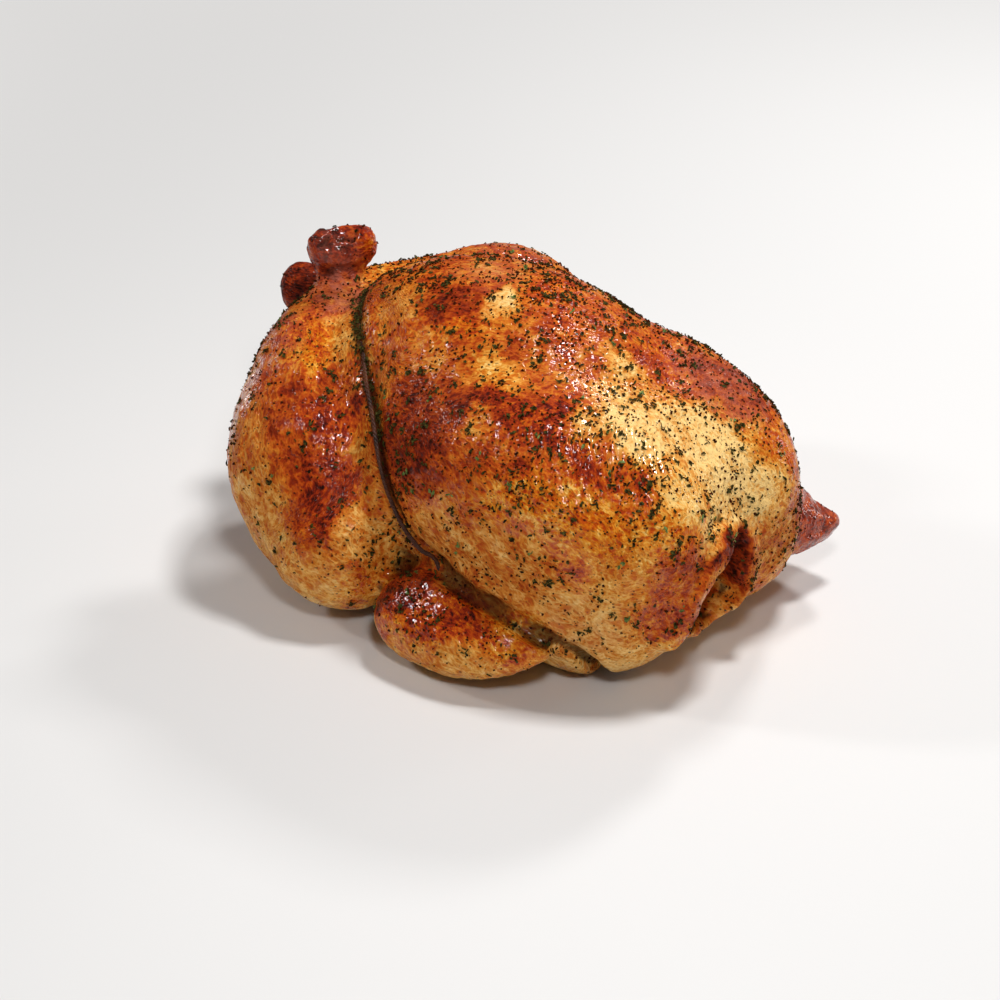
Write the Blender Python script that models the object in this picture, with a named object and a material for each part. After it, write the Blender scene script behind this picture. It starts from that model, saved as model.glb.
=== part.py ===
"""A trussed roast chicken lying on its back, and the string that trusses it.

Frame: metres, +Z up. The bird rests on Z = 0. X runs from its tail (-) to its neck end (+), and
its left side faces -Y. Every size below is in millimetres, in that frame, and the finished bird is
moved a few millimetres to put the origin under the middle of its box.

The bird is one solid. Its muscles are plain rounded forms. They are fused a group at a time, each
group as soft as that part of a roast bird, and then all together. The fused body is hollowed at the
neck and the vent, flattened where it rests, and grooved where the string bites.
"""

import math

import bmesh
import bpy
import numpy as np
from mathutils import Euler, Matrix, Vector
from mathutils.bvhtree import BVHTree

MM = 0.001

# Torso forms: centre, half sizes, turn about X, Y and Z in degrees, widening towards the neck.
TORSO = {
    "ribs": ((-17, 0, 59.5), (87, 63, 69.5), (0, 6, 0), 0.04),
    "back": ((0, 0, 32), (90, 57, 38), (0, 0, 0), 0.10),
    "left_breast": ((25, -33, 65), (76, 39, 45), (8, 4, 2), 0.04),
    "right_breast": ((22, 30, 62), (76, 38, 44), (-8, 4, -2), 0.04),
    "breast_front": ((44, -3, 60), (48, 38, 43), (0, 0, 0), 0.0),
    "left_shoulder": ((46, -31, 41), (48, 33, 43), (0, 0, 0), 0.0),
    "right_shoulder": ((46, 34, 40), (48, 34, 40), (0, 0, 0), 0.0),
    "neck_skin": ((82, -6, 38), (18, 26, 24), (0, 0, 0), 0.0),
    "tail": ((-108, 0, 34), (24, 17, 12), (0, 20, 0), 0.0),
}

# Legs: the thigh, the drumstick's line from knee to ankle with its radii, and the two knobs of the
# bare ankle. The ankles cross, the left in front and standing up, the right behind and lying low.
THIGH = (46, 32, 36)
THIGH_TURN = (0, -20, 18)
LEFT_LEG = {
    "thigh": (-50, -46, 40),
    "line": [(-46, -56, 34), (-66, -43, 53), (-84, -24, 82), (-94, -6, 101)],
    "radii": [32, 40, 27, 10],
    "knobs": [(-97, -8, 118), (-90, 2, 119)],
}
RIGHT_LEG = {
    "thigh": (-46, 50, 50),
    "line": [(-36, 64, 44), (-54, 60, 62), (-68, 48, 75), (-86, 27, 87), (-104, 10, 94)],
    "radii": [28, 37, 37, 20, 9],
    "knobs": [(-117, -3, 98), (-113, -8, 96)],
}
SHANK_RADIUS = 9
KNOB = (8.5, 8, 9)

# Wings: each limb is a line of points and a radius at each.
LEFT_WING = [
    ([(0, -68, 18), (25, -70, 18), (45, -67, 20), (60, -63, 24)], [17, 15.5, 10, 4]),
    ([(54, -44, 34), (24, -60, 30), (0, -66, 24)], [18, 16, 12]),
]
RIGHT_WING = [
    ([(60, 48, 36), (74, 63, 30), (84, 76, 28)], [18, 15, 5]),
    ([(84, 76, 27), (70, 71, 22), (52, 66, 19), (36, 62, 17)], [5, 11, 14, 13]),
]

# Skin gathered over the neck hole, and the two hollows: centre, half sizes and push inwards.
NECK_FOLD = ([(90, -35, 26), (95, -31, 42), (96, -19, 55), (90, 0, 58)], [5, 6, 6, 5])
NECK_HOLLOW = ((98, -11, 33), (34, 20, 20), (-28, 0, -3))
VENT_HOLLOW = ((-100, 0, 66), (34, 26, 22), (20, 0, 0))

# How far the joins of each group are rounded over.
TORSO_SOFTNESS = 9
LEG_SOFTNESS = 2.4
WING_SOFTNESS = 3
SKIN_SOFTNESS = 1.5

# The string's closed route: down the left crease between leg and breast, along the top of the wing,
# across the back and up the right side. It is laid on the skin, so these points are only near it.
# The last number of each is how deep the string bites: most beside the wing and under the back.
STRING_ROUTE = [
    (-80, 0, 108, 2), (-64, -25, 106, 2), (-47, -43, 101, 2), (-33, -54, 90, 2), (-22, -63, 76, 2),
    (-15, -65, 59, 2), (-8, -64, 44, 2), (8, -66, 38, 3), (34, -70, 36, 5), (52, -67, 31, 5),
    (66, -60, 20, 4), (65, -43, 6, 5), (58, -18, 0, 5), (48, 12, 0, 5), (34, 38, 2, 5),
    (14, 56, 14, 3), (-3, 64, 36, 2), (-16, 62, 62, 2), (-34, 50, 90, 2), (-54, 28, 108, 2),
    (-72, 10, 110, 2),
]
STRING_RADIUS = 1.1
STRING_GAP = 0.7
STRING_LOWEST = 1.4  # of the string's middle, so that it stays clear of what the bird rests on
STRING_POINTS = 160
STRING_BEVEL = 2
EVEN_TURNS = 12
RELAX_TURNS = 60
PUSH_TURNS = 40
GROOVE_REACH = 6

VOXEL = 2.2
EGG_SEGMENTS = 40
LIMB_RINGS = 28
LIMB_BEVEL = 6
CAP_DEGREES = (25, 50, 75)
SMOOTH_FACTOR = 0.6
SKIN_TRIANGLES = 7200
FLAT_BELOW = 0.4


def new_object(name, mesh):
    obj = bpy.data.objects.new(name, mesh)
    bpy.context.scene.collection.objects.link(obj)
    return obj


def object_from(name, built):
    """An object made from a bmesh, which is freed."""
    mesh = bpy.data.meshes.new(name)
    built.to_mesh(mesh)
    built.free()
    return new_object(name, mesh)


def egg(name, centre, half_sizes, turn=(0, 0, 0), widening=0.0):
    """An ellipsoid whose +X end is wider than its -X end by the widening."""
    built = bmesh.new()
    bmesh.ops.create_uvsphere(built, u_segments=EGG_SEGMENTS, v_segments=EGG_SEGMENTS // 2, radius=1)
    for vert in built.verts:
        vert.co.yz *= 1 + widening * vert.co.x
    turned = Euler([math.radians(angle) for angle in turn]).to_matrix().to_4x4()
    sized = Matrix.Diagonal((*half_sizes, 1))
    built.transform(Matrix.Scale(MM, 4) @ Matrix.Translation(centre) @ turned @ sized)
    return object_from(name, built)


def smooth_line(knots, count, closed=False):
    """Points along a Catmull-Rom curve through the knots."""
    knots = np.array(knots, float)
    if closed:
        padded = np.vstack([knots[-1], knots, knots[0], knots[1]])
    else:
        padded = np.vstack([2 * knots[0] - knots[1], knots, 2 * knots[-1] - knots[-2]])
    spans = len(padded) - 3
    line = []
    for s in np.linspace(0, spans, count, endpoint=not closed):
        i = min(int(s), spans - 1)
        t = s - i
        a, b, c, d = padded[i : i + 4]
        line.append(b + 0.5 * t * (c - a + t * (2 * a - 5 * b + 4 * c - d + t * (3 * b - a - 3 * c + d))))
    return np.array(line)


def tube(name, line, radii, closed, resolution):
    """A round tube along the line, in metres, made as a curve with a bevel."""
    curve = bpy.data.curves.new(name, "CURVE")
    curve.dimensions = "3D"
    spline = curve.splines.new("POLY")
    spline.points.add(len(line) - 1)
    for point, place, radius in zip(spline.points, line, radii):
        point.co = (*place, 1)
        point.radius = radius
    spline.use_cyclic_u = closed
    curve.bevel_depth = 1
    curve.bevel_resolution = resolution
    curve.use_fill_caps = True
    return new_object(name, curve)


def dome(end, before):
    """Points that round off a limb beyond its end, each with its radius."""
    out = (end - before)[:3]
    out /= np.linalg.norm(out)
    radius = end[3]
    angles = [math.radians(angle) for angle in CAP_DEGREES]
    return [[*(end[:3] + out * radius * math.sin(a)), radius * math.cos(a)] for a in angles]


def limb(name, knots, radii):
    """A round limb along the knots, with a radius at each knot and domed ends."""
    line = smooth_line(np.column_stack([knots, radii]), LIMB_RINGS)
    line = np.vstack([dome(line[0], line[1])[::-1], line, dome(line[-1], line[-2])]) * MM
    return tube(name, line[:, :3], line[:, 3], False, LIMB_BEVEL)


def finished_mesh(obj):
    """The object's mesh with its modifiers and bevel applied."""
    graph = bpy.context.evaluated_depsgraph_get()
    return bpy.data.meshes.new_from_object(obj.evaluated_get(graph))


def apply_modifiers(obj):
    mesh = finished_mesh(obj)
    obj.modifiers.clear()
    obj.data = mesh


def fuse(name, parts, softness):
    """One closed body from overlapping parts, its joins rounded over about the softness."""
    together = bmesh.new()
    for part in parts:
        together.from_mesh(finished_mesh(part))
        bpy.data.objects.remove(part)
    body = object_from(name, together)
    remesh = body.modifiers.new("fuse", "REMESH")
    remesh.mode = "VOXEL"
    remesh.voxel_size = VOXEL * MM
    smooth = body.modifiers.new("soften", "SMOOTH")
    smooth.factor = SMOOTH_FACTOR
    # The reach of the smoothing grows with the square root of its turns.
    smooth.iterations = round(2 * (softness / VOXEL) ** 2 / SMOOTH_FACTOR)
    apply_modifiers(body)
    return body


def press(body, centre, half_sizes, push):
    """Moves the skin inside an ellipsoid by the push, fading to nothing at its edge."""
    for vert in body.data.vertices:
        away = vert.co / MM - Vector(centre)
        reach = sum((a / h) ** 2 for a, h in zip(away, half_sizes))
        if reach < 1:
            vert.co += Vector(push) * MM * (1 - reach) ** 2


def torso():
    parts = [egg(name, *sizes) for name, sizes in TORSO.items()]
    return fuse("torso", parts, TORSO_SOFTNESS)


def leg(name, side, sizes):
    """Side is -1 for the left leg and 1 for the right."""
    middle = np.mean(sizes["knobs"], axis=0)
    turn = (THIGH_TURN[0], THIGH_TURN[1], -side * THIGH_TURN[2])
    parts = [
        egg("thigh", sizes["thigh"], THIGH, turn),
        limb("drumstick", sizes["line"], sizes["radii"]),
        limb("shank", [sizes["line"][-1], middle], [SHANK_RADIUS, SHANK_RADIUS]),
    ]
    parts += [egg("knob", place, KNOB) for place in sizes["knobs"]]
    return fuse(name, parts, LEG_SOFTNESS)


def wing(name, limbs):
    return fuse(name, [limb("bone", *each) for each in limbs], WING_SOFTNESS)


def whole_bird():
    parts = [
        torso(),
        leg("left_leg", -1, LEFT_LEG),
        leg("right_leg", 1, RIGHT_LEG),
        wing("left_wing", LEFT_WING),
        wing("right_wing", RIGHT_WING),
        limb("neck_fold", *NECK_FOLD),
    ]
    bird = fuse("chicken", parts, SKIN_SOFTNESS)
    press(bird, *NECK_HOLLOW)
    press(bird, *VENT_HOLLOW)
    for vert in bird.data.vertices:
        vert.co.z = max(vert.co.z, 0)
    return bird


def skin_tree(body):
    bpy.context.view_layer.update()
    return BVHTree.FromObject(body, bpy.context.evaluated_depsgraph_get())


def spread(values):
    """Evens out values round a closed line."""
    return (np.roll(values, 1, axis=0) + 2 * values + np.roll(values, -1, axis=0)) / 4


def string_line(body):
    """The string's route laid on the skin in metres, the way out of the skin and the bite there."""
    tree = skin_tree(body)
    line = smooth_line(STRING_ROUTE, STRING_POINTS, closed=True)
    found = [tree.find_nearest(place)[:2] for place in line[:, :3] * MM]
    places = np.array([place for place, _ in found])
    ways_out = np.array([normal for _, normal in found])
    for _ in range(EVEN_TURNS):
        ways_out = spread(ways_out)
    return places, ways_out, line[:, 3]


def groove(body, places, ways_out, bites):
    """Sinks the skin along the string's line, fading to nothing at GROOVE_REACH from it."""
    for vert in body.data.vertices:
        away = np.linalg.norm(places - vert.co, axis=1)
        nearest = away.argmin()
        reach = away[nearest] / (GROOVE_REACH * MM)
        if reach < 1:
            vert.co -= Vector(ways_out[nearest]) * bites[nearest] * MM * (1 - reach**2) ** 2


def thin_out(body):
    """Leaves about SKIN_TRIANGLES, most where the form turns, and sets the underside flat again."""
    body.data.calc_loop_triangles()
    fewer = body.modifiers.new("fewer", "DECIMATE")
    fewer.ratio = SKIN_TRIANGLES / len(body.data.loop_triangles)
    apply_modifiers(body)
    for vert in body.data.vertices:
        if vert.co.z < FLAT_BELOW * MM:
            vert.co.z = 0


def centre(body):
    """Moves the body so that the origin is under the middle of its box, and returns the move."""
    places = np.array([vert.co for vert in body.data.vertices])
    move = -(places.min(axis=0) + places.max(axis=0)) / 2
    move[2] = 0
    body.data.transform(Matrix.Translation(move))
    return move


def lifted(tree, line, clear):
    """The line with every point moved out of the skin until it is clear of it."""
    moved = []
    for point in line:
        place, normal, _, distance = tree.find_nearest(point)
        away = Vector(point) - place
        if away.dot(normal) < 0:
            point = place + normal * clear
        elif distance < clear:
            point = place + away.normalized() * clear
        moved.append(point)
    return np.array(moved)


def string(body, line):
    """A closed round string pulled smooth along the line, clear of the skin all the way."""
    tree = skin_tree(body)
    clear = (STRING_RADIUS + STRING_GAP) * MM
    for _ in range(RELAX_TURNS):
        line = lifted(tree, spread(line), clear)
    for _ in range(PUSH_TURNS):
        line = lifted(tree, line, clear)
    line[:, 2] = np.maximum(line[:, 2], STRING_LOWEST * MM)
    return tube("truss_string", line, [STRING_RADIUS * MM] * len(line), True, STRING_BEVEL)


def paint(obj, name, colour, roughness, coat):
    material = bpy.data.materials.new(name)
    material.use_nodes = True
    shader = material.node_tree.nodes["Principled BSDF"]
    shader.inputs["Base Color"].default_value = (*colour, 1)
    shader.inputs["Roughness"].default_value = roughness
    shader.inputs["Coat Weight"].default_value = coat
    obj.data.materials.append(material)


def main():
    for obj in list(bpy.data.objects):
        bpy.data.objects.remove(obj)
    bird = whole_bird()
    places, ways_out, bites = string_line(bird)
    groove(bird, places, ways_out, bites)
    thin_out(bird)
    bird.data.shade_smooth()
    truss = string(bird, places + centre(bird))
    paint(bird, "roast_skin", (0.42, 0.15, 0.03), 0.35, 0.5)
    paint(truss, "browned_string", (0.10, 0.035, 0.012), 0.7, 0.0)


main()
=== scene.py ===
"""The looks of a trussed roast chicken rubbed with herbs and pepper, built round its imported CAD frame.

The frame is in metres, +Z up, with the origin under the middle of the bird. The tail points to -X, the
neck to +X, and the bird's left side, which the camera sees, faces -Y. Sizes in this script are in
millimetres in that frame, and MM turns them into metres.

The skin is a fine mesh made from the CAD bird, then wrinkled, puckered and browned by formulas and by
named patches. The string, the herbs and the pepper are meshes of their own, laid on that skin.
"""

import math

import bpy
import numpy as np
from mathutils import Matrix, Vector, noise
from mathutils.bvhtree import BVHTree
from mathutils.kdtree import KDTree


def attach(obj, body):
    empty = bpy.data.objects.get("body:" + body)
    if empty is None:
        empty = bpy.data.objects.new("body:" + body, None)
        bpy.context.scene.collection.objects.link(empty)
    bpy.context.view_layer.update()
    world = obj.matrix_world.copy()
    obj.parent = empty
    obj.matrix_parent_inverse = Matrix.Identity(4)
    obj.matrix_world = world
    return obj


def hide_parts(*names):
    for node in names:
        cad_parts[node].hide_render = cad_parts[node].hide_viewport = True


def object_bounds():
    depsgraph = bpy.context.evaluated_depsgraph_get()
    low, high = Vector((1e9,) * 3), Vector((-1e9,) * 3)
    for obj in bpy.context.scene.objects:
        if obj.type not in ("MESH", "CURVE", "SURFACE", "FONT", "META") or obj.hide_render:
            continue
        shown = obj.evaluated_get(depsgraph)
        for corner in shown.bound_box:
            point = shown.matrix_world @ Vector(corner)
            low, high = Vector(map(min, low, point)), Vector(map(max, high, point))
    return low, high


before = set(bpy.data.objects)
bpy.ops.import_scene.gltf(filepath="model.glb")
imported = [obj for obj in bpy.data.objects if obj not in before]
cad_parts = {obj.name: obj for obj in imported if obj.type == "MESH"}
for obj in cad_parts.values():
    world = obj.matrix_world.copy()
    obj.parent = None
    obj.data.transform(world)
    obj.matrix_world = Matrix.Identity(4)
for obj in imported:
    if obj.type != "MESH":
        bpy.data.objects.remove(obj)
cad_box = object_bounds()

MM = 0.001

# The camera: its direction in degrees, and its aim, its distance and the width it sees at the aim.
VIEW_AZIMUTH = 40
VIEW_ELEVATION = 27
VIEW_AIM = (-7.4, -0.9, 30.9)
VIEW_DISTANCE = 1100
VIEW_WIDTH = 385
SENSOR = 36

# The skin's mesh, and the places on it that the sculpting and the seasoning name.
SKIN_VOXEL = 0.95
SKIN_SMOOTHING = 18
SKIN_TRIANGLES = 190000
ANKLE = (-79, -10, 118)
LEG_AXIS = (0.50, -0.47, -0.73)
FAR_ANKLE = (-101, -10, 97)
LEFT_WING_PLACE = (33, -80, 18)
RIGHT_WING_PLACE = (85, 66, 26)
NECK_HOLE = (110, -16, 30)

# Where the string runs along the top of the left wing: past this X, left of this Y and below this Z.
WING_RUN_X = 12
WING_RUN_Y = -30
WING_RUN_Z = 48


# ---------------------------------------------------------------- masks and noise over points

def within(points, centre, radii, edge=0.5):
    """1 inside an ellipsoid and 0 outside it, fading over the edge, a share of its radii."""
    reach = np.linalg.norm((points - centre) / radii, axis=1)
    fade = np.clip((1 + edge / 2 - reach) / edge, 0, 1)
    return fade * fade * (3 - 2 * fade)


def rise(values, low, high):
    """0 up to low and 1 from high on, turning smoothly between them."""
    share = np.clip((values - low) / (high - low), 0, 1)
    return share * share * (3 - 2 * share)


def lumps(points, size, seed, octaves=1):
    """Smooth noise from about -1 to 1 whose lumps are about the size across."""
    shift = Vector((seed * 17.3, seed * -9.1, seed * 5.7))
    scaled = points / size
    return np.array([noise.fractal(Vector(p) + shift, 1.0, 2.0, octaves) for p in scaled])


def streaks(points, axis, length, width, seed, octaves=1):
    """Noise drawn out along an axis: its lumps are the length long and the width across."""
    axis = np.array(axis) / np.linalg.norm(axis)
    along = np.outer(points @ axis, axis)
    return lumps(along / length + (points - along) / width, 1, seed, octaves)


def warped(points, size, reach, seed):
    """The points pushed about by noise, so that a shape looked up there gets an uneven edge."""
    pushes = [lumps(points, size, seed + i) for i in range(3)]
    return points + reach * np.column_stack(pushes)


# ---------------------------------------------------------------- meshes

def new_object(name, mesh):
    obj = bpy.data.objects.new(name, mesh)
    bpy.context.scene.collection.objects.link(obj)
    return obj


def smooth_out(obj, turns):
    """Adds a modifier that smooths the object, each turn at half strength."""
    smooth = obj.modifiers.new("smooth", "SMOOTH")
    smooth.factor = 0.5
    smooth.iterations = turns


def settle(obj):
    """Applies the object's modifiers, or turns a curve into its mesh, and shades it smooth."""
    bpy.context.view_layer.update()
    graph = bpy.context.evaluated_depsgraph_get()
    mesh = bpy.data.meshes.new_from_object(obj.evaluated_get(graph))
    settled = new_object(obj.name + "_mesh", mesh)
    name = obj.name
    bpy.data.objects.remove(obj)
    settled.name = name
    mesh.shade_smooth()
    return settled


def points_of(mesh):
    """The mesh's points in millimetres."""
    flat = np.empty(len(mesh.vertices) * 3, np.float32)
    mesh.vertices.foreach_get("co", flat)
    return flat.reshape(-1, 3).astype(float) / MM


def normals_of(mesh):
    flat = np.empty(len(mesh.vertices) * 3, np.float32)
    mesh.vertices.foreach_get("normal", flat)
    return flat.reshape(-1, 3).astype(float)


def set_points(mesh, points):
    mesh.vertices.foreach_set("co", (points * MM).astype(np.float32).ravel())
    mesh.update()


def cad_corners():
    """The CAD box's lowest and highest corners in millimetres."""
    return [np.array(corner) / MM for corner in cad_box]


def search_tree(points):
    """A tree that finds the points near a place."""
    tree = KDTree(len(points))
    for i, point in enumerate(points):
        tree.insert(point, i)
    tree.balance()
    return tree


def add_values(mesh, name, values):
    """Stores a number at each point, for a material to read by its name."""
    layer = mesh.attributes.new(name, "FLOAT", "POINT")
    layer.data.foreach_set("value", np.clip(values, 0, 1).astype(np.float32))


def add_vectors(mesh, name, vectors):
    layer = mesh.attributes.new(name, "FLOAT_VECTOR", "POINT")
    layer.data.foreach_set("vector", vectors.astype(np.float32).ravel())


# ---------------------------------------------------------------- the string

# The walk along the CAD string: its steps, how far it looks about, and when it may close.
STRING_STEP = 1.5
STRING_REACH = 4.0
FIRST_STEPS = 10

# The strands twisted round it. The guide is a direction in which the string never runs.
STRAND_COUNT = 3
STRAND_RADIUS = 0.5
STRAND_OFFSET = 0.42
STRAND_FINENESS = 3
TWIST_LENGTH = 5.5
STRAND_GUIDE = (0.2, 0.3, 0.93)

# How deep the string sinks into the skin beside the wing and at the top, and over how many points
# either way its way in is evened out.
WING_BURIAL = 6.0
TOP_BURIAL = 2.4
BURIAL_BLEND = 5


def string_middle():
    """The line that the CAD string follows: a walk along it, each step moved across to its middle."""
    points = points_of(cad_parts["truss_string"].data)
    tree = search_tree(points)

    def middle(place):
        near = [index for _, index, _ in tree.find_range(place, STRING_REACH)]
        return points[near].mean(axis=0)

    start = middle(points[0])
    ahead = max(tree.find_range(start, STRING_REACH), key=lambda found: found[2])[0]
    heading = np.array(ahead) - start
    line = [start]
    while len(line) < FIRST_STEPS or np.linalg.norm(line[-1] - start) > STRING_STEP:
        heading /= np.linalg.norm(heading)
        guess = line[-1] + heading * STRING_STEP
        across = middle(guess) - guess
        across -= heading * across.dot(heading)
        line.append(guess + across)
        heading = line[-1] - line[-2]
    return np.array(line[:-1])


def strand(line, turn):
    """One strand's points: a helix round the closed line, starting at the turn, an angle."""
    ahead = np.roll(line, -1, axis=0) - np.roll(line, 1, axis=0)
    ahead /= np.linalg.norm(ahead, axis=1)[:, None]
    side = np.cross(ahead, STRAND_GUIDE)
    side /= np.linalg.norm(side, axis=1)[:, None]
    up = np.cross(side, ahead)
    steps = np.linalg.norm(np.roll(line, -1, axis=0) - line, axis=1)
    turns = round(steps.sum() / TWIST_LENGTH)
    angles = turn + 2 * math.pi * turns * np.cumsum(steps) / steps.sum()
    return line + STRAND_OFFSET * (side * np.cos(angles)[:, None] + up * np.sin(angles)[:, None])


def sunk(line, skin_object):
    """The line pressed into the skin where the skin has swollen over it: by the wing, and at the top."""
    tree = BVHTree.FromObject(skin_object, bpy.context.evaluated_depsgraph_get())
    depth = np.full(len(line), WING_BURIAL)
    depth *= rise(line[:, 0] - WING_RUN_X, 0, 10)
    depth *= rise(WING_RUN_Y - line[:, 1], 0, 20)
    depth *= rise(WING_RUN_Z - line[:, 2], 0, 8)
    depth += TOP_BURIAL * rise(line[:, 2], 92, 104)
    ways_in = np.array([-tree.find_nearest(point * MM)[1] for point in line])
    ways_in = sum(np.roll(ways_in, i, axis=0) for i in range(-BURIAL_BLEND, BURIAL_BLEND + 1))
    ways_in /= np.linalg.norm(ways_in, axis=1)[:, None]
    return line + ways_in * depth[:, None]


def finer(line, times):
    """The closed line with more points, evenly between its own."""
    after = np.roll(line, -1, axis=0)
    parts = [line + (after - line) * i / times for i in range(times)]
    return np.concatenate(parts, axis=1).reshape(-1, 3)


def twine(line):
    """The string as strands twisted round the line."""
    curve = bpy.data.curves.new("twine", "CURVE")
    curve.dimensions = "3D"
    curve.bevel_depth = STRAND_RADIUS * MM
    curve.bevel_resolution = 2
    for i in range(STRAND_COUNT):
        points = strand(finer(line, STRAND_FINENESS), 2 * math.pi * i / STRAND_COUNT)
        spline = curve.splines.new("POLY")
        spline.points.add(len(points) - 1)
        spline.points.foreach_set("co", np.column_stack([points * MM, np.ones(len(points))]).ravel())
        spline.use_cyclic_u = True
    return settle(new_object("twine", curve))


# ---------------------------------------------------------------- the skin's shape

def fine_skin():
    """A closed fine mesh of the whole bird, with the CAD solid's facets smoothed away."""
    body = new_object("roast_skin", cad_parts["chicken"].data.copy())
    remesh = body.modifiers.new("remesh", "REMESH")
    remesh.mode = "VOXEL"
    remesh.voxel_size = SKIN_VOXEL * MM
    smooth_out(body, SKIN_SMOOTHING)
    return settle(body)


def leg_share(points):
    """1 on the two legs and 0 on the breast and wings."""
    left = within(points, (-50, -50, 62), (42, 44, 66), 0.3)
    right = within(points, (-50, 52, 62), (42, 40, 52), 0.3)
    return np.maximum(left, right) * rise(-points[:, 0], 12, 24)


# Places pushed in or out: centre, radii, and the move in the middle.
CARVINGS = [
    # The dip between the near ankle's two knobs, the groove down its front, and the notch under it.
    ((-78, -9, 128), (4.5, 4.5, 6), (0.4, -0.3, -4.2)),
    ((-77, -13, 121), (3.5, 3.5, 8), (-0.8, 1.2, -0.5)),
    ((-84, -17, 124), (4.5, 4.5, 5), (-0.2, -0.2, 1.6)),
    ((-70, -4, 124), (4.5, 4.5, 6), (1.2, 0.5, 1.2)),
    ((-84, -18, 117), (6, 6, 9), (-1.0, -0.7, 0)),
    ((-75, -14, 111), (8, 7, 3.2), (-1.2, 1.4, 0.4)),
    # The neck's opening with its lip, and the hollow under it.
    ((110, -5, 46), (16, 8, 10), (-11, 1, -1)),
    ((110, -21, 58), (8, 7, 8), (1.2, -0.4, 1.2)),
    ((103, -7, 27), (14, 8, 12), (-8, 3, 0)),
    # The far wing's flat, dished face.
    ((98, 60, 36), (10, 12, 8), (-1.6, 0, -1.4)),
    # The dimple in the pale front of the breast.
    ((92, -10, 92), (12, 11, 10), (-0.6, 0, -0.9)),
]

# The crease beside the wing: its depth beside the string, and how far from the string it reaches.
WING_CREASE = 2.6
WING_CREASE_REACH = 4.5

# The rings in the skin run round this point, so far apart.
RINGS_CENTRE = (100, -18, 84)
RINGS_APART = 3.6

# How far the whole skin is drawn in to make room for its relief, and then kept inside the CAD box for
# the herbs on it.
SKIN_DRAWN_IN = 0.3
HERB_ROOM = 0.9


def carved(points):
    """The points after the carvings, each with an uneven edge."""
    looked_up = warped(points, 7, 1.6, 60)
    moves = np.zeros_like(points)
    for centre, radii, move in CARVINGS:
        moves += within(looked_up, centre, radii, 0.6)[:, None] * move
    return points + moves


def relief(points):
    """How far each point of the skin moves outwards, in millimetres."""
    legs = leg_share(points)
    top = rise(points[:, 2], 20, 90)
    ankle = within(points, ANKLE, (30, 30, 34), 0.8)
    knuckle = within(points, ANKLE, (15, 15, 14), 0.5)
    neck = within(points, NECK_HOLE, (26, 38, 36), 0.8)
    wing = within(points, LEFT_WING_PLACE, (42, 18, 20), 0.4)
    far_wing = within(points, RIGHT_WING_PLACE, (30, 24, 30), 0.4)
    rings = within(points, (84, -40, 96), (22, 18, 14), 0.8)
    arcs = within(points, (68, -60, 92), (30, 14, 16), 0.8)

    out = 0.45 * lumps(points, 16, 1, 2)
    out += 0.30 * lumps(points, 7, 2, 2)
    # Fine folds that follow the leg, and folds along the breast.
    out += 0.35 * legs * streaks(points, LEG_AXIS, 16, 3.4, 3, 2)
    out += 0.24 * (1 - legs) * streaks(points, (1, 0, -0.35), 14, 3.6, 4, 2)
    # Shrunken skin below the ankle, gathered skin round the neck hole, and the wings' crackled tops.
    out += 0.6 * ankle * (1 - knuckle) * streaks(points, (0.6, 0.75, 0.1), 12, 3.0, 5, 2)
    out += 0.5 * knuckle * lumps(points, 3.4, 10, 2)
    out += 0.9 * neck * streaks(points, (0.2, 0.4, 0.9), 16, 4.0, 6, 2)
    out += 0.35 * (wing + far_wing) * lumps(points, 3.2, 7, 2)
    # Rings pushed up in the skin beside the pale front, and the arcs that run on from them.
    waves = np.linalg.norm(points - RINGS_CENTRE, axis=1) + 0.9 * lumps(points, 9, 9)
    out += (0.50 * rings + 0.28 * arcs) * np.sin(2 * math.pi * waves / RINGS_APART)
    out += 0.18 * top * lumps(points, 3.0, 8, 1)
    return out - SKIN_DRAWN_IN


def keep_inside(points):
    """Fits the points into the CAD box less the herbs' room, and flattens the underside on Z = 0."""
    low, high = cad_corners()
    low += HERB_ROOM
    high -= HERB_ROOM
    low[2] = 0
    return np.clip(points, low, high)


def near_line(points, line, reach):
    """1 on the line and 0 from the reach on, in millimetres."""
    tree = search_tree(line)
    away = np.array([tree.find(point)[2] for point in points])
    return rise(-away, -reach, -0.3 * reach)


def sculpt(skin, string_line):
    """Carves the skin and moves its points by the relief, and then thins the mesh where it is flat."""
    points = points_of(skin.data)
    normals = normals_of(skin.data)
    out = relief(points)
    x, y, z = string_line.T
    beside_wing = string_line[(x > WING_RUN_X) & (y < WING_RUN_Y) & (z < WING_RUN_Z)]
    out -= WING_CREASE * near_line(points, beside_wing, WING_CREASE_REACH)
    moved = carved(points) + normals * out[:, None]
    set_points(skin.data, keep_inside(moved))
    skin.data.calc_loop_triangles()
    fewer = skin.modifiers.new("fewer", "DECIMATE")
    fewer.ratio = SKIN_TRIANGLES / len(skin.data.loop_triangles)
    return settle(skin)


# ---------------------------------------------------------------- browning

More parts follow.
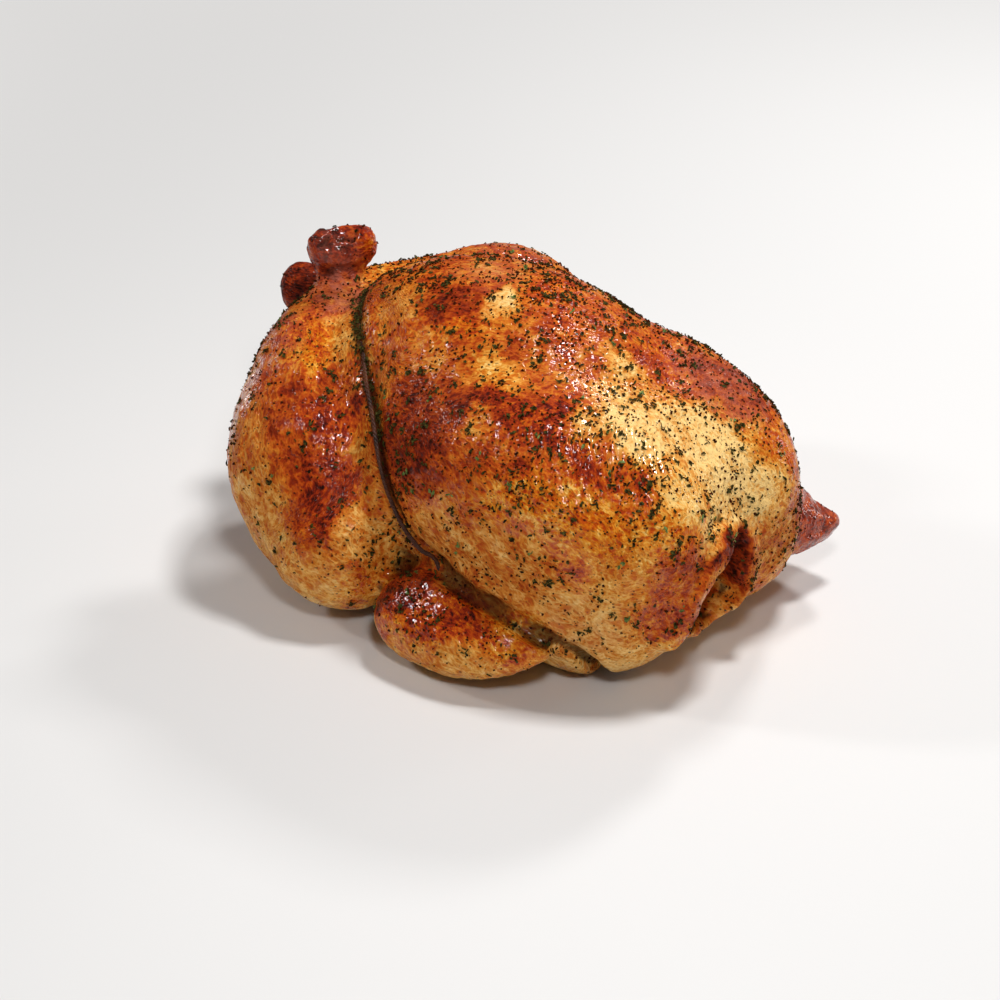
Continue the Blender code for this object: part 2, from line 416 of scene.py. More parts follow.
# Patches on the skin: centre, radii, how roasted (0 is cream, 0.5 orange, 1 nearly black) and how
# glazed (0 is matt tan, 1 clear amber). Those whose Y is below MIRRORED_FROM are on the right side too.
PATCHES = [
    # Near breast, from the ridge down.
    ((-8, -28, 122), (13, 11, 12), 0.88, 0.3),
    ((10, -19, 126), (5, 8, 6), 0.16, 0.3),
    ((-8, -6, 127), (12, 8, 8), 0.44, 0.5),
    ((-27, -31, 118), (12, 10, 12), 0.46, 0.4),
    ((5, -36, 116), (10, 7, 8), 0.46, 1.0),
    ((2, -41, 113), (3, 3, 4), 0.80, 0.8),
    ((-3, -46, 108), (14, 8, 9), 0.50, 0.6),
    ((24, -37, 114), (12, 9, 9), 0.60, 0.5),
    ((27, -46, 108), (9, 6, 6), 0.26, 0.8),
    ((46, -20, 113), (13, 10, 8), 0.52, 0.6),
    ((5, -58, 97), (11, 8, 8), 0.80, 0.3),
    ((22, -60, 101), (12, 8, 8), 0.86, 0.3),
    ((40, -56, 104), (11, 7, 7), 0.76, 0.8),
    ((57, -53, 103), (10, 7, 7), 0.68, 0.9),
    ((69, -54, 100), (8, 8, 7), 0.80, 1.0),
    ((80, -54, 95), (9, 8, 8), 0.78, 1.0),
    ((92, -50, 89), (9, 8, 8), 0.60, 1.0),
    ((86, -38, 97), (9, 8, 8), 0.30, 1.0),
    ((60, -72, 76), (10, 8, 8), 0.42, 1.0),
    ((-4, -67, 80), (11, 12, 16), 0.82, 0.4),
    ((14, -71, 83), (14, 10, 13), 0.84, 0.4),
    ((35, -70, 90), (13, 9, 10), 0.62, 0.4),
    ((34, -65, 97), (8, 6, 5), 0.36, 0.6),
    # The amber front corner and the pale front.
    ((70, -69, 82), (20, 12, 13), 0.42, 1.0),
    ((90, -63, 71), (14, 14, 14), 0.40, 1.0),
    ((80, -28, 100), (20, 20, 12), 0.08, 0.3),
    ((90, 2, 89), (16, 20, 16), 0.05, 0.3),
    ((102, 4, 70), (16, 26, 16), 0.04, 0.4),
    ((104, -32, 78), (12, 14, 14), 0.14, 0.7),
    ((104, -50, 72), (8, 8, 10), 0.34, 0.9),
    ((57, -3, 108), (12, 9, 8), 0.15, 0.4),
    # Far breast.
    ((48, 12, 110), (18, 12, 12), 0.62, 0.8),
    ((64, 16, 102), (16, 12, 10), 0.64, 1.0),
    ((80, 27, 93), (18, 14, 14), 0.74, 0.4),
    ((98, 22, 82), (9, 10, 9), 0.42, 0.8),
    ((104, 34, 70), (10, 12, 20), 0.46, 0.8),
    # Lower breast and the skin beside the neck.
    ((44, -74, 54), (28, 12, 15), 0.42, 0.2),
    ((38, -74, 40), (26, 12, 9), 0.46, 0.1),
    ((78, -62, 32), (24, 14, 14), 0.30, 0.3),
    ((108, -42, 52), (12, 10, 18), 0.62, 0.6),
    ((104, -46, 42), (6, 7, 10), 0.60, 0.8),
    ((96, -57, 48), (8, 8, 14), 0.34, 0.5),
    ((111, -22, 58), (6, 8, 5), 0.98, 0.2),
    ((104, -3, 44), (12, 9, 12), 0.96, 0.1),
    ((98, -6, 27), (11, 8, 12), 0.74, 0.2),
    ((106, 20, 40), (10, 14, 14), 0.46, 0.2),
    # Legs.
    ((-79, -12, 120), (16, 15, 13), 0.90, 0.9),
    ((-70, -3, 119), (7, 8, 9), 0.60, 1.0),
    ((-101, -14, 102), (12, 12, 12), 0.94, 0.3),
    ((-68, -22, 107), (13, 12, 8), 0.62, 0.0),
    ((-50, -40, 101), (12, 9, 8), 0.32, 0.5),
    ((-66, -45, 97), (10, 9, 9), 0.50, 1.0),
    ((-55, -57, 92), (12, 9, 9), 0.42, 1.0),
    ((-32, -56, 90), (10, 9, 9), 0.68, 0.5),
    ((-55, -71, 83), (14, 12, 11), 0.70, 0.4),
    ((-35, -70, 79), (11, 12, 11), 0.72, 0.9),
    ((-70, -76, 70), (12, 12, 14), 0.46, 0.3),
    ((-48, -86, 54), (18, 12, 14), 0.38, 0.3),
    ((-41, -80, 70), (9, 8, 8), 0.66, 0.5),
    ((-78, -66, 76), (8, 14, 22), 0.46, 1.0),
    ((-60, -88, 54), (7, 8, 8), 0.20, 0.3),
    ((-46, -88, 45), (9, 8, 6), 0.46, 0.3),
    ((-55, -80, 28), (24, 18, 18), 0.30, 0.3),
    ((-24, -80, 56), (15, 12, 15), 0.84, 0.8),
    ((-12, -76, 46), (8, 10, 12), 0.34, 0.4),
    ((-55, 28, 116), (26, 22, 14), 0.50, 0.9),
    ((-22, 16, 124), (20, 14, 12), 0.56, 0.5),
    ((-44, 52, 108), (16, 14, 10), 0.62, 0.8),
    # Wings.
    ((10, -82, 32), (14, 12, 9), 0.90, 0.7),
    ((34, -82, 30), (18, 12, 7), 0.70, 1.0),
    ((62, -76, 25), (12, 10, 8), 0.40, 1.0),
    ((18, -90, 17), (14, 10, 9), 0.50, 0.9),
    ((42, -88, 13), (18, 10, 9), 0.30, 0.5),
    ((88, 70, 30), (26, 24, 24), 0.82, 0.8),
]

MIRRORED_FROM = -42
PATCH_GROWTH = 1.1
PATCH_STRENGTH = 0.9
BACK_SHADE = 0.20

# Which way the skin's grain runs on the sides and on top, the share by which points are drawn together
# along it, and how far it wavers.
SIDE_GRAIN = (1, 0, -0.45)
TOP_GRAIN = (1, 0.6, 0)
GRAIN_DRAW = 0.4
GRAIN_WAVER = 2.0

# How much smoothing the folds are measured against, how dark their painted shade gets, and how far beside
# the string the painted shade of its crease reaches.
FOLD_SMOOTHING = 60
FOLD_SHADE = 0.8
STRING_SHADE_REACH = 4.6

# Places where the skin is pinkish under its browning: centre, radii and how much of it shows.
BLUSHES = [
    ((-68, -22, 107), (14, 14, 10), 1.0),
    ((-76, -14, 118), (10, 10, 10), 0.5),
    ((-76, -66, 78), (8, 16, 22), 0.4),
    ((-8, -6, 127), (16, 12, 8), 0.6),
    ((78, 24, 96), (26, 14, 14), 0.8),
    ((-74, -50, 92), (12, 14, 14), 0.7),
    ((-44, 52, 108), (20, 16, 12), 0.6),
    ((78, -62, 32), (20, 12, 12), 0.4),
    ((96, 66, 34), (14, 20, 20), 0.5),
]

# Places where the skin is dry and dull: centre, radii and how dull.
DULL_PLACES = [
    ((-68, -22, 106), (14, 14, 9), 0.8),
    ((62, 20, 101), (40, 15, 14), 0.75),
    ((28, 4, 121), (24, 12, 10), 0.7),
    ((60, -66, 28), (40, 20, 18), 0.3),
    ((94, -60, 71), (14, 14, 14), 0.7),
    ((-22, -78, 58), (12, 10, 12), 0.6),
    ((-64, -48, 98), (9, 8, 8), 0.6),
]

# Places that the glaze has soaked: centre, radii and how much.
SOAKED_PLACES = [
    ((34, -44, 104), (44, 26, 20), 0.40),
    ((86, -46, 96), (18, 12, 12), 1.0),
    ((60, -72, 76), (10, 8, 8), 0.8),
    ((-28, -62, 88), (9, 13, 11), 1.0),
    ((-76, -12, 122), (9, 9, 9), 0.9),
    ((-78, -66, 74), (8, 12, 18), 0.8),
    ((30, -82, 32), (20, 10, 8), 0.7),
    ((96, 62, 36), (14, 16, 14), 0.4),
]


def covered(points, places):
    """How strongly each point lies in the places, 0 to 1."""
    spots = warped(points, 12, 6, 26)
    out = np.zeros(len(points))
    for centre, radii, share in places:
        out = np.maximum(out, share * within(spots, centre, radii, 0.9))
    return out


def browning(points, normals):
    """How roasted and how glazed the skin is at each point."""
    spots = warped(warped(points, 16, 7, 20), 6, 3, 24)
    # Browner higher up and where it faces up, with broad clouds, and then the patches.
    roast = 0.22 + 0.22 * rise(points[:, 2], 4, 60) + 0.10 * rise(normals[:, 2], -0.2, 0.8)
    roast += 0.16 * lumps(points, 26, 11, 2)
    glaze = 0.6 + 0.4 * lumps(points, 22, 12, 2)
    for centre, radii, patch_roast, patch_glaze in PATCHES:
        sides = (1, -1) if centre[1] < MIRRORED_FROM else (1,)
        for side in sides:
            place = (centre[0], centre[1] * side, centre[2])
            share = PATCH_STRENGTH * within(spots, place, np.array(radii) * PATCH_GROWTH, 0.9)
            roast += share * (patch_roast - roast)
            glaze += share * (patch_glaze - glaze)
    # Pale where the bird lies on its back.
    under = rise(-normals[:, 2], 0.3, 0.8) * rise(-points[:, 2], -20, -4)
    roast += under * (BACK_SHADE - roast)
    roast += 0.08 * lumps(points, 5, 13, 2)
    return roast, glaze


def grain_places(points):
    """The points drawn together along the skin's grain, so that noise looked up there runs along it."""
    legs = leg_share(points)[:, None]
    top = rise(points[:, 2], 86, 112)[:, None]
    places = warped(points, 12, GRAIN_WAVER, 40)
    shares = ((legs, LEG_AXIS), ((1 - legs) * (1 - top), SIDE_GRAIN), ((1 - legs) * top, TOP_GRAIN))
    for share, axis in shares:
        axis = np.array(axis) / np.linalg.norm(axis)
        places -= GRAIN_DRAW * share * np.outer(points @ axis, axis)
    return places


def hollows(skin):
    """1 down in the folds and creases of the skin and 0 on open skin, for the painted shade in them."""
    smoothed = new_object("smoothed", skin.data.copy())
    smooth_out(smoothed, FOLD_SMOOTHING)
    smoothed = settle(smoothed)
    sunk_by = ((points_of(smoothed.data) - points_of(skin.data)) * normals_of(skin.data)).sum(axis=1)
    bpy.data.objects.remove(smoothed)
    return rise(sunk_by, 0.15, 0.9)


# ---------------------------------------------------------------- materials

def srgb(red, green, blue):
    """A colour given as it looks on a screen, 0 to 255, as the linear numbers that Blender takes."""
    def linear(value):
        value /= 255
        return value / 12.92 if value <= 0.04045 else ((value + 0.055) / 1.055) ** 2.4
    return (linear(red), linear(green), linear(blue), 1)


class Nodes:
    """A material's nodes, with short calls for the ones used here."""

    def __init__(self, name):
        self.material = bpy.data.materials.new(name)
        self.material.use_nodes = True
        self.tree = self.material.node_tree
        self.shader = self.tree.nodes["Principled BSDF"]

    def add(self, kind, **settings):
        node = self.tree.nodes.new("ShaderNode" + kind)
        for key, value in settings.items():
            setattr(node, key, value)
        return node

    def plug(self, socket, value):
        """Links an output to the socket, or sets the socket to a plain value."""
        if isinstance(value, bpy.types.NodeSocket):
            self.tree.links.new(value, socket)
        else:
            socket.default_value = value

    def place(self, scale=(1, 1, 1)):
        """The point in millimetres, scaled."""
        mapping = self.add("Mapping")
        self.plug(mapping.inputs["Vector"], self.add("TexCoord").outputs["Object"])
        mapping.inputs["Scale"].default_value = [1 / MM * share for share in scale]
        return mapping.outputs["Vector"]

    def noise(self, where, size, detail=2.0, rough=0.5, distort=0.0):
        """Noise from 0 to 1 with lumps about the size across."""
        node = self.add("TexNoise")
        self.plug(node.inputs["Vector"], where)
        node.inputs["Scale"].default_value = 1 / size
        node.inputs["Detail"].default_value = detail
        node.inputs["Roughness"].default_value = rough
        node.inputs["Distortion"].default_value = distort
        return node.outputs["Fac"]

    def ridges(self, where, size, detail=2.0, rough=0.5):
        """Noise folded at its middle, 1 along thin lines and falling away beside them."""
        folded = self.math("ABSOLUTE", self.math("SUBTRACT", self.noise(where, size, detail, rough), 0.5))
        return self.fit(folded, 0.0, 0.16, 1, 0)

    def cells(self, where, size):
        """Scattered cells about the size apart: the distance from their middles, and a random colour."""
        node = self.add("TexVoronoi")
        self.plug(node.inputs["Vector"], where)
        node.inputs["Scale"].default_value = 1 / size
        return node.outputs["Distance"], node.outputs["Color"]

    def specks(self, where, size, reach, share):
        """1 on small spots and 0 between them: one in each cell, in about a share of the cells."""
        away, colour = self.cells(where, size)
        chance = self.add("SeparateColor")
        self.plug(chance.inputs["Color"], colour)
        kept = self.math("LESS_THAN", chance.outputs["Red"], share)
        edge = self.math("MULTIPLY", chance.outputs["Green"], reach)
        near = self.math("LESS_THAN", away, edge)
        return self.math("MULTIPLY", kept, near)

    def value(self, name):
        """A number stored on the mesh."""
        return self.add("Attribute", attribute_name=name).outputs["Fac"]

    def math(self, operation, a, b=0.0, c=0.0):
        node = self.add("Math", operation=operation)
        for socket, value in zip(node.inputs, (a, b, c)):
            self.plug(socket, value)
        return node.outputs["Value"]

    def total(self, *terms):
        """The sum of each value times its weight."""
        out = 0.0
        for value, weight in terms:
            out = self.math("MULTIPLY_ADD", value, weight, out)
        return out

    def fit(self, value, low, high, to_low=0.0, to_high=1.0):
        node = self.add("MapRange", interpolation_type="SMOOTHSTEP")
        for socket, number in zip(node.inputs, (value, low, high, to_low, to_high)):
            self.plug(socket, number)
        return node.outputs["Result"]

    def mix(self, share, a, b):
        node = self.add("Mix", data_type="RGBA")
        self.plug(node.inputs["Factor"], share)
        self.plug(node.inputs["A"], a)
        self.plug(node.inputs["B"], b)
        return node.outputs["Result"]

    def ramp(self, value, stops):
        """A colour ramp through (place, colour) stops."""
        node = self.add("ValToRGB")
        elements = node.color_ramp.elements
        while len(elements) < len(stops):
            elements.new(0.5)
        for element, (place, colour) in zip(elements, stops):
            element.position = place
            element.color = colour
        self.plug(node.inputs["Fac"], value)
        return node.outputs["Color"]

    def bump(self, height):
        """Relief from a height in millimetres."""
        node = self.add("Bump")
        node.inputs["Strength"].default_value = 1.0
        node.inputs["Distance"].default_value = MM
        self.plug(node.inputs["Height"], height)
        return node.outputs["Normal"]

    def finish(self, **sockets):
        """Sets the shader's sockets by name, with _ for a space, and returns the material."""
        for name, value in sockets.items():
            self.plug(self.shader.inputs[name.replace("_", " ")], value)
        return self.material


# The skin's colours as it roasts, where it is matt and where it is glazed.
MATT_ROAST = [
    (0.00, srgb(242, 204, 138)),
    (0.16, srgb(224, 172, 100)),
    (0.34, srgb(200, 126, 50)),
    (0.52, srgb(176, 84, 24)),
    (0.70, srgb(138, 48, 14)),
    (0.86, srgb(88, 25, 8)),
    (1.00, srgb(28, 8, 3)),
]
GLAZED_ROAST = [
    (0.00, srgb(242, 194, 106)),
    (0.16, srgb(228, 154, 46)),
    (0.34, srgb(208, 112, 10)),
    (0.52, srgb(186, 70, 6)),
    (0.70, srgb(146, 38, 6)),
    (0.86, srgb(92, 18, 6)),
    (1.00, srgb(26, 8, 5)),
]


PINK = srgb(176, 98, 78)
DUST_BROWN = srgb(46, 20, 12)
STROKE_BROWN = srgb(66, 26, 12)
# The dark brown of the painted shade in the folds and along the string's crease.
PAINTED_CREASE_SHADE = srgb(34, 13, 6)


class SkinNodes(Nodes):
    """The skin's nodes. Its colour and its relief share their wrinkles, fibres and dust."""

    def __init__(self):
        super().__init__("roast_skin")
        self.where = self.place()
        self.grain = self.add("Attribute", attribute_name="grain").outputs["Vector"]
        self.wrinkle = self.ridges(self.grain, 2.4, 2, 0.5)
        self.fibre = self.noise(self.grain, 1.0, 3, 0.6, 0.8)
        self.dust = self.specks(self.place(scale=(0.7, 1, 1)), 1.5, 0.30, 0.45)
        self.gloss = self.fit(self.value("glaze"), 0.4, 1.0)

    def roast(self):
        """The mesh's roast, broken up by wrinkles, fibres, mottling and blotches."""
        mottle = self.noise(self.where, 3.6, 4, 0.55, 1.2)
        blotch = self.noise(self.where, 9.0, 3, 0.55, 0.4)
        uneven = self.total((self.fibre, 0.62), (mottle, 0.88), (1.0, -0.75))
        strength = self.fit(self.gloss, 0, 1, 0.45, 1.0)
        return self.total(
            (self.value("roast"), 1.0),
            (self.wrinkle, -0.18),
            (uneven, strength),
            (blotch, 0.7),
            (1.0, -0.30),
        )

    def colour(self):
        """The roast's colour, pinkish in places, with dust, strokes along the grain and painted shade in the
        creases.
        """
        roast = self.roast()
        colour = self.mix(self.value("glaze"), self.ramp(roast, MATT_ROAST), self.ramp(roast, GLAZED_ROAST))
        patchy = self.fit(self.noise(self.where, 4, 2), 0.35, 0.65, 0.15, 0.6)
        colour = self.mix(self.math("MULTIPLY", self.value("blush"), patchy), colour, PINK)
        colour = self.mix(self.math("MULTIPLY", self.dust, 0.8), colour, DUST_BROWN)
        strokes = self.specks(self.grain, 1.0, 0.36, 0.45)
        colour = self.mix(self.math("MULTIPLY", strokes, 0.5), colour, STROKE_BROWN)
        # Painted shade: dark brown down in the folds and along the string's crease.
        return self.mix(self.fit(self.value("crease_shade"), 0.1, 1.0, 0, 0.9), colour, PAINTED_CREASE_SHADE)

    def glaze_height(self):
        """The relief that the wet glaze follows: wrinkles, puckers and pimples, flatter where soaked."""
        pucker = self.noise(self.where, 3.2, 1, 0.4, 0.8)
        away, _ = self.cells(self.grain, 1.9)
        pimples = self.math("MULTIPLY", away, away)
        crinkle = self.noise(self.grain, 1.1, 1, 0.4, 1.0)
        smooth = self.math("MAXIMUM", self.gloss, self.value("soaked"))
        broad = self.math("MULTIPLY", pucker, self.fit(smooth, 0, 1, 0.55, 0.34))
        fine = self.math("MULTIPLY", pimples, self.fit(smooth, 0, 1, -0.26, -0.10))
        height = self.total((self.wrinkle, 0.12), (broad, 1.0), (fine, 1.0), (crinkle, 0.08))
        return self.math("MULTIPLY", height, self.fit(self.value("soaked"), 0, 1, 1.0, 0.45))

    def wetness(self):
        """How much clear glaze there is, in drops: most where soaked, and none where dull or creased."""
        drops = self.total(
            (self.value("glaze"), 0.40),
            (self.value("soaked"), 0.50),
            (self.noise(self.where, 6, 2), 0.60),
            (self.noise(self.where, 1.8, 1), 0.50),
        )
        wet = self.fit(drops, 0.64, 1.04, 0.03, 1.0)
        dry = self.math("MAXIMUM", self.value("crease_shade"), self.value("dull"))
        return self.math("MULTIPLY", wet, self.math("SUBTRACT", 1.0, dry))


def skin_material():
    nodes = SkinNodes()
    glaze_height = nodes.glaze_height()
    height = nodes.total((glaze_height, 1.0), (nodes.wrinkle, 0.12), (nodes.fibre, 0.24), (nodes.dust, -0.05))
    return nodes.finish(
        Base_Color=nodes.colour(),
        Roughness=0.6,
        Specular_IOR_Level=0.05,
        Normal=nodes.bump(height),
        Coat_Weight=nodes.wetness(),
        Coat_Roughness=0.06,
        Coat_IOR=1.42,
        Coat_Normal=nodes.bump(glaze_height),
    )


def string_material():
    nodes = Nodes("browned_string")
    where = nodes.place()
    fibre = nodes.noise(where, 0.35, 3, 0.7, 1.0)
    soak = nodes.noise(where, 7, 3)
    colour = nodes.ramp(soak, [(0.3, srgb(34, 14, 6)), (0.55, srgb(74, 34, 13)), (0.8, srgb(118, 64, 28))])
    return nodes.finish(
        Base_Color=colour,
        Roughness=0.4,
        Specular_IOR_Level=0.3,
        Normal=nodes.bump(nodes.math("MULTIPLY", fibre, 0.12)),
    )


def herb_material(name, dark, light):
    nodes = Nodes(name)
    where = nodes.place()
    tone = nodes.noise(where, 1.1, 2)
    vein = nodes.noise(where, 0.3, 2)
    return nodes.finish(
        Base_Color=nodes.ramp(tone, [(0.35, dark), (0.7, light)]),
        Roughness=0.7,
        Specular_IOR_Level=0.04,
        Normal=nodes.bump(nodes.math("MULTIPLY", vein, 0.08)),
    )


# ---------------------------------------------------------------- herbs and pepper

# The corners of a flake, how many different flakes and crumbs there are, and the seed of what is random.
FLAKE_CORNERS = 6
KINDS = 12
SEED = 7

# How many lie on the skin: dark flakes on their own, in clumps and caught along the string, clumps of
# fresh flakes, and crumbs of pepper.
SINGLE_FLAKES = 1900
FLAKE_CLUMPS = 600
STRING_FLAKES = 300
FRESH_CLUMPS = 110
PEPPER_CRUMBS = 7000

# The flakes caught along the string: how far they scatter, and how high they lie on each other.
STRING_FLAKE_SPREAD = 1.7
STRING_FLAKE_LIFT = 0.8


def flake(random):
    """A torn bit of leaf, about 1 long: an uneven outline bent along its middle, and a little thick."""
    count = FLAKE_CORNERS
    angles = 2 * math.pi * (np.arange(count) + random.uniform(-0.3, 0.3, count)) / count
    reach = random.uniform(0.65, 1.2, count) / 2
    width = random.uniform(0.3, 0.75)
    flat = np.column_stack([np.cos(angles) * reach, np.sin(angles) * reach * width])
    flat = np.vstack([flat, random.uniform(-0.06, 0.06, (1, 2))])
    height = random.uniform(0.2, 0.9) * np.abs(flat[:, 1]) + random.uniform(-0.6, 0.6) * flat[:, 0] ** 2
    thick = random.uniform(0.05, 0.10)
    top = np.column_stack([flat, height + thick / 2])
    under = np.column_stack([flat, height - thick / 2])
    faces = []
    for i in range(count):
        after = (i + 1) % count
        faces.append((i, after, count))
        faces.append((2 * count + 1, count + 1 + after, count + 1 + i))
        faces.append((i, count + 1 + i, count + 1 + after))
        faces.append((i, count + 1 + after, after))
    return np.vstack([top, under]), np.array(faces)


def crumb(random):
    """A cracked bit of peppercorn, about 1 across."""
    points = np.array([(1, 0, 0), (0, 1, 0), (-1, 0, 0), (0, -1, 0), (0, 0, 1), (0, 0, -1)], float) / 2
    points *= random.uniform(0.55, 1.2, (6, 1))
    points += random.uniform(-0.08, 0.08, (6, 3))
    faces = [(i, (i + 1) % 4, 4) for i in range(4)] + [((i + 1) % 4, i, 5) for i in range(4)]
    return points, np.array(faces)


def turn_onto(normal, random, tilt):
    """A turn that sets +Z near the normal, leaning at random by about the tilt, and spun."""
    leaning = Vector(normal) + Vector(random.normal(0, tilt, 3))
    spin = Matrix.Rotation(random.uniform(0, 2 * math.pi), 3, "Z")
    return np.array(leaning.to_track_quat("Z", "Y").to_matrix() @ spin)


class Skin:
    """The finished skin's triangles, for laying things on it."""

    def __init__(self, obj):
        mesh = obj.data
        mesh.calc_loop_triangles()
        corners = np.empty(len(mesh.loop_triangles) * 3, np.int32)
        mesh.loop_triangles.foreach_get("vertices", corners)
        self.corners = corners.reshape(-1, 3)
        self.points = points_of(mesh)
        a, b, c = (self.points[self.corners[:, i]] for i in range(3))
        cross = np.cross(b - a, c - a)
        self.area = np.linalg.norm(cross, axis=1) / 2
        self.normals = cross / np.maximum(2 * self.area[:, None], 1e-9)
        self.middles = (a + b + c) / 3
        self.tree = BVHTree.FromPolygons(self.points.tolist(), self.corners.tolist())

    def spots(self, count, weight, random):
        """Random points on the skin, more where the weight of a triangle is more, with their normals."""
        share = np.cumsum(self.area * weight)
        picked = np.searchsorted(share, random.uniform(0, share[-1], count))
        blend = random.dirichlet((1, 1, 1), count)
        places = (self.points[self.corners[picked]] * blend[:, :, None]).sum(axis=1)
        return places, self.normals[picked]

    def onto(self, places):
        """The nearest points of the skin to the places, with their normals."""
        found = [self.tree.find_nearest(place) for place in places]
        return np.array([hit[0] for hit in found]), np.array([hit[1] for hit in found])

    def clumps(self, spots, most, spread, random):
        """Between 2 and the most points round each of the spots, laid on the skin."""
        counts = random.integers(2, most + 1, len(spots[0]))
        middles = np.repeat(spots[0], counts, axis=0)
        return self.onto(middles + random.normal(0, spread, middles.shape))


def both(first, second):
    """Two sets of places and normals as one."""
    return tuple(np.concatenate(pair) for pair in zip(first, second))


def scatter(name, kinds, spots, sizes, tilt, lift, random, material):
    """One mesh of many small things laid on the skin, without any that would leave the CAD box.

    The sizes are the least and the most, the tilt is how far a thing leans, and the lift is how far its
    middle stands off the skin, as a share of its size.
    """
    low, high = cad_corners()
    all_points = []
    all_faces = []
    start = 0
    for place, normal in zip(*spots):
        points, faces = kinds[random.integers(len(kinds))]
        size = random.uniform(*sizes)
        turn = turn_onto(normal, random, tilt)
        laid = place + normal * size * lift + (points * size) @ turn.T
        if (laid < low).any() or (laid > high).any():
            continue
        all_points.append(laid)
        all_faces.append(faces + start)
        start += len(points)
    mesh = bpy.data.meshes.new(name)
    points = np.concatenate(all_points) * MM
    mesh.from_pydata(points.tolist(), [], np.concatenate(all_faces).tolist())
    mesh.materials.append(material)
    return new_object(name, mesh)


# Places with few herbs: centre and radii.
BARE_PLACES = [
    (ANKLE, (16, 16, 16)),
    (FAR_ANKLE, (16, 16, 16)),
    (RIGHT_WING_PLACE, (30, 26, 30)),
    ((-55, -80, 28), (40, 30, 26)),
    ((-46, 6, 119), (16, 14, 12)),
]


def herb_weight(skin):
    """How thickly herbs lie on each triangle: most on top, few on the bare places, none underneath."""
    faces_up = rise(skin.normals[:, 2], -0.7, 0.5)
    height = skin.middles[:, 2]
    patches = np.exp(1.6 * lumps(skin.middles, 18, 31, 2))
    weight = (0.10 + 0.9 * faces_up) * (0.25 + 0.75 * rise(height, 0, 30)) * patches * rise(height, 2, 6)
    for centre, radii in BARE_PLACES:
        weight *= 1 - 0.85 * within(skin.middles, centre, radii)
    return weight * (1 - 0.6 * leg_share(skin.middles))


# ---------------------------------------------------------------- the studio

# The lamps: name, azimuth and elevation from the bird, width and height, and power in watts.
LAMPS = [
    ("key", (-172, 42), (130, 130), 3.3),
    ("top", (110, 74), (140, 140), 5.6),
    ("front_left", (-52, 36), (90, 110), 1.5),
    ("front_right", (44, 40), (90, 110), 2.6),
    ("back_right", (150, 12), (200, 120), 0.8),
    ("left", (-95, 6), (110, 170), 0.4),
]
LAMP_DISTANCE = 900
LAMP_AIM = (0, 0, 50)

# The floor: half its width, and the glow that a camera sees on it, from where it starts to where it is
# full. The world: its strength as a light, and as a camera sees it.
FLOOR_HALF = 3000
FLOOR_GLOW = 0.76
GLOW_STARTS = 250
GLOW_FULL = 1500
WORLD_LIGHT = 0.07
WORLD_SEEN = 0.84


def towards(azimuth, elevation):
    """The direction from the bird to a viewer at an azimuth and elevation in degrees."""
    a = math.radians(azimuth)
    e = math.radians(elevation)
    return Vector((math.sin(a) * math.cos(e), -math.cos(a) * math.cos(e), math.sin(e)))


def softbox(name, direction, size, power):
    """An area light that looks at the bird."""
    lamp = bpy.data.lights.new(name, "AREA")
    lamp.shape = "RECTANGLE"
    lamp.size = size[0] * MM
    lamp.size_y = size[1] * MM
    lamp.energy = power
    obj = new_object(name, lamp)
    aim = Vector(LAMP_AIM) * MM
    obj.location = aim + towards(*direction) * LAMP_DISTANCE * MM
    obj.rotation_euler = (obj.location - aim).to_track_quat("Z", "Y").to_euler()


def floor_material():
    """A pale floor that the lamps light near the bird, and that stays as pale to the eye farther out."""
    nodes = Nodes("floor")
    away = nodes.add("VectorMath", operation="LENGTH")
    nodes.plug(away.inputs[0], nodes.place())
    seen = nodes.add("LightPath").outputs["Is Camera Ray"]
    glow = nodes.fit(away.outputs["Value"], GLOW_STARTS, GLOW_FULL, 0, FLOOR_GLOW)
    return nodes.finish(
        Base_Color=(0.74, 0.73, 0.72, 1),
        Roughness=0.8,
        Specular_IOR_Level=0.1,
        Emission_Color=(1.0, 0.985, 0.97, 1),
        Emission_Strength=nodes.math("MULTIPLY", glow, seen),
    )


def backdrop():
    """A plain world that lights the bird with one strength and shows behind it with another."""
    world = bpy.data.worlds.new("studio")
    world.use_nodes = True
    nodes = world.node_tree.nodes
    background = nodes["Background"]
    background.inputs["Color"].default_value = (1.0, 0.98, 0.96, 1)
    strength = nodes.new("ShaderNodeMapRange")
    strength.inputs["To Min"].default_value = WORLD_LIGHT
    strength.inputs["To Max"].default_value = WORLD_SEEN
    links = world.node_tree.links
    links.new(nodes.new("ShaderNodeLightPath").outputs["Is Camera Ray"], strength.inputs["Value"])
    links.new(strength.outputs["Result"], background.inputs["Strength"])
    return world


def studio():
    half = FLOOR_HALF * MM
    corners = [(-half, -half, 0), (half, -half, 0), (half, half, 0), (-half, half, 0)]
    floor_mesh = bpy.data.meshes.new("floor")
    floor_mesh.from_pydata(corners, [], [(0, 1, 2, 3)])
    floor_mesh.materials.append(floor_material())
    floor = new_object("floor", floor_mesh)
    bpy.context.scene.world = backdrop()
    bpy.context.scene.view_settings.view_transform = "Standard"
    for lamp in LAMPS:
        softbox(*lamp)


def camera():
    lens = bpy.data.cameras.new("camera")
    lens.sensor_width = SENSOR
    lens.lens = SENSOR * VIEW_DISTANCE / VIEW_WIDTH
    obj = new_object("camera", lens)
    direction = towards(VIEW_AZIMUTH, VIEW_ELEVATION)
    obj.location = (Vector(VIEW_AIM) + direction * VIEW_DISTANCE) * MM
    obj.rotation_euler = direction.to_track_quat("Z", "Y").to_euler()
    bpy.context.scene.camera = obj


# ---------------------------------------------------------------- the bird

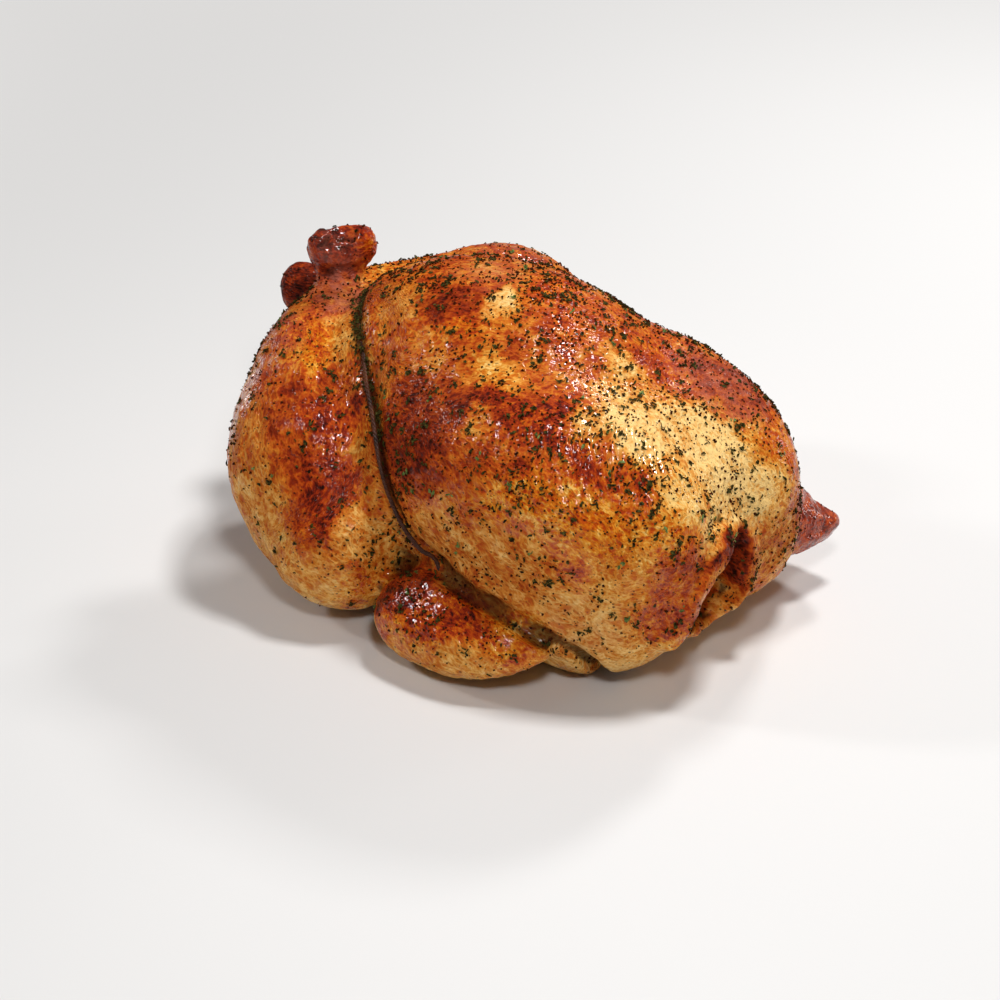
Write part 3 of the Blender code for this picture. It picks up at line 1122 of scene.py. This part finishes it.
def dressed_skin(string_line):
    """The bird's skin, carved, with its material and the values that the material reads."""
    skin = sculpt(fine_skin(), string_line)
    points = points_of(skin.data)
    roast, glaze = browning(points, normals_of(skin.data))
    shown = string_line[(string_line[:, 0] < WING_RUN_X) | (string_line[:, 2] > WING_RUN_Z)]
    # Painted shade: darker beside the string's shown run and down in the skin's folds.
    crease_shade = np.maximum(near_line(points, shown, STRING_SHADE_REACH), FOLD_SHADE * hollows(skin))
    add_values(skin.data, "roast", roast)
    add_values(skin.data, "glaze", glaze)
    add_values(skin.data, "blush", covered(points, BLUSHES))
    add_values(skin.data, "dull", covered(points, DULL_PLACES))
    add_values(skin.data, "soaked", covered(points, SOAKED_PLACES))
    add_values(skin.data, "crease_shade", crease_shade)
    add_vectors(skin.data, "grain", grain_places(points))
    skin.data.materials.clear()
    skin.data.materials.append(skin_material())
    return skin


def caught_flakes(skin, string_line, random):
    """Places and normals of the flakes caught along the upper string, on the bird's left side."""
    upper = string_line[(string_line[:, 2] > 78) & (string_line[:, 1] < -22)]
    places = upper[random.integers(len(upper), size=STRING_FLAKES)]
    places, normals = skin.onto(places + random.normal(0, STRING_FLAKE_SPREAD, (STRING_FLAKES, 3)))
    return places + normals * random.uniform(0, STRING_FLAKE_LIFT, (STRING_FLAKES, 1)), normals


def seasoning(skin_object, string_line):
    """The herbs and the pepper, one mesh for each kind."""
    skin = Skin(skin_object)
    random = np.random.default_rng(SEED)
    flakes = [flake(random) for _ in range(KINDS)]
    crumbs = [crumb(random) for _ in range(KINDS)]
    weight = herb_weight(skin)
    dark = herb_material("dark_herb", srgb(26, 12, 4), srgb(82, 78, 34))
    bright = herb_material("bright_herb", srgb(60, 72, 26), srgb(128, 144, 80))
    pepper = herb_material("pepper", srgb(34, 10, 3), srgb(84, 38, 12))
    singles = skin.spots(SINGLE_FLAKES, weight, random)
    clumps = skin.clumps(skin.spots(FLAKE_CLUMPS, weight, random), most=8, spread=0.85, random=random)
    leaves = both(both(singles, clumps), caught_flakes(skin, string_line, random))
    fresh = skin.clumps(skin.spots(FRESH_CLUMPS, weight, random), most=3, spread=0.7, random=random)
    dark_piece = scatter("herb_flakes", flakes, leaves, (0.8, 2.6), 0.4, 0.15, random, dark)
    bright_piece = scatter("fresh_flakes", flakes, fresh, (1.3, 2.6), 0.35, 0.15, random, bright)
    grains = skin.spots(PEPPER_CRUMBS, weight, random)
    pepper_piece = scatter("pepper", crumbs, grains, (0.5, 1.5), 0.5, 0.10, random, pepper)
    return [dark_piece, bright_piece, pepper_piece]


def main():
    camera()
    string_line = string_middle()
    skin = dressed_skin(string_line)
    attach(skin, "root")
    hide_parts("chicken")

    string_piece = twine(sunk(string_line, skin))
    string_piece.data.materials.clear()
    string_piece.data.materials.append(string_material())
    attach(string_piece, "root")
    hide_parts("truss_string")

    for piece in seasoning(skin, string_line):
        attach(piece, "root")

    studio()


main()
